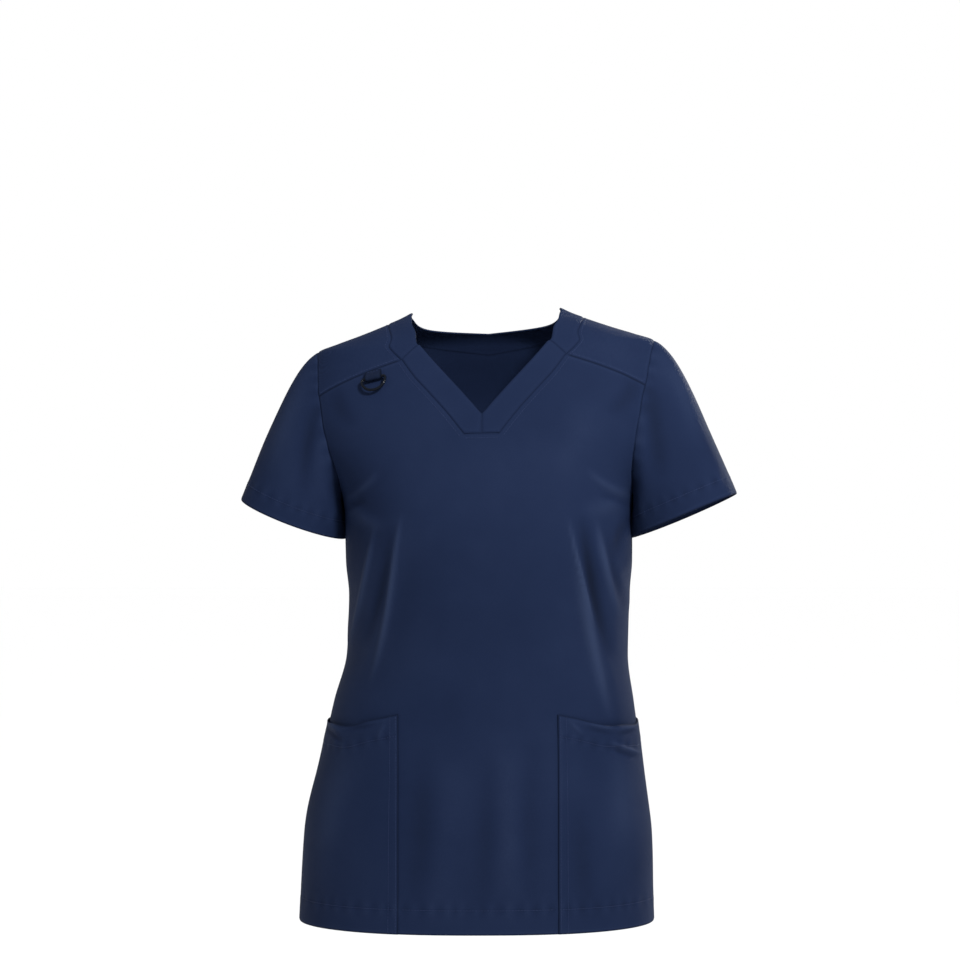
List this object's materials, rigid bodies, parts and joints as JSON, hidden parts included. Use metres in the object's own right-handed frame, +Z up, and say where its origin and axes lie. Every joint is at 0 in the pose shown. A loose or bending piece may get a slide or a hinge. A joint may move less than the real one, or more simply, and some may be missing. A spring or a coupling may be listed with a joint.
{
  "type": "medical scrub top, as worn",
  "caption": "Short-sleeved V-neck medical scrub top in smooth navy twill, hollow as worn, with shoulder yoke, neck band, patch pockets and a swinging metal ring for a badge.",
  "frame": {"origin": "midway between the two high shoulder points, where the wearer's shoulders hold the top up", "axes": "+Z up the standing wearer, -Y is the front of the top, so the wearer's right side is at -X"},
  "size_m": [0.5207, 0.2419, 0.6429],
  "materials": {
    "navy_twill": "smooth fine twill with a faint sheen",
    "navy_tape": "folded self-fabric tape",
    "ring_metal": "glossy black"
  },
  "bodies": {
    "garment": {"front": "navy_twill", "back": "navy_twill", "yoke": "navy_twill", "band_front_right": "navy_twill", "band_front_left": "navy_twill", "band_back": "navy_twill", "sleeve_right": "navy_twill", "sleeve_left": "navy_twill", "pocket_right": "navy_twill", "pocket_left": "navy_twill", "ring_loop": "navy_tape"},
    "ring": {"d_ring": "ring_metal"}
  },
  "joints": [
    {"name": "ring_swing", "type": "hinge", "parent": "garment", "child": "ring", "pos_m": [-0.11653, -0.0533, -0.07306], "axis": [-0.9564, 0.1994, -0.2133], "range_deg": [0, 150]}
  ]
}
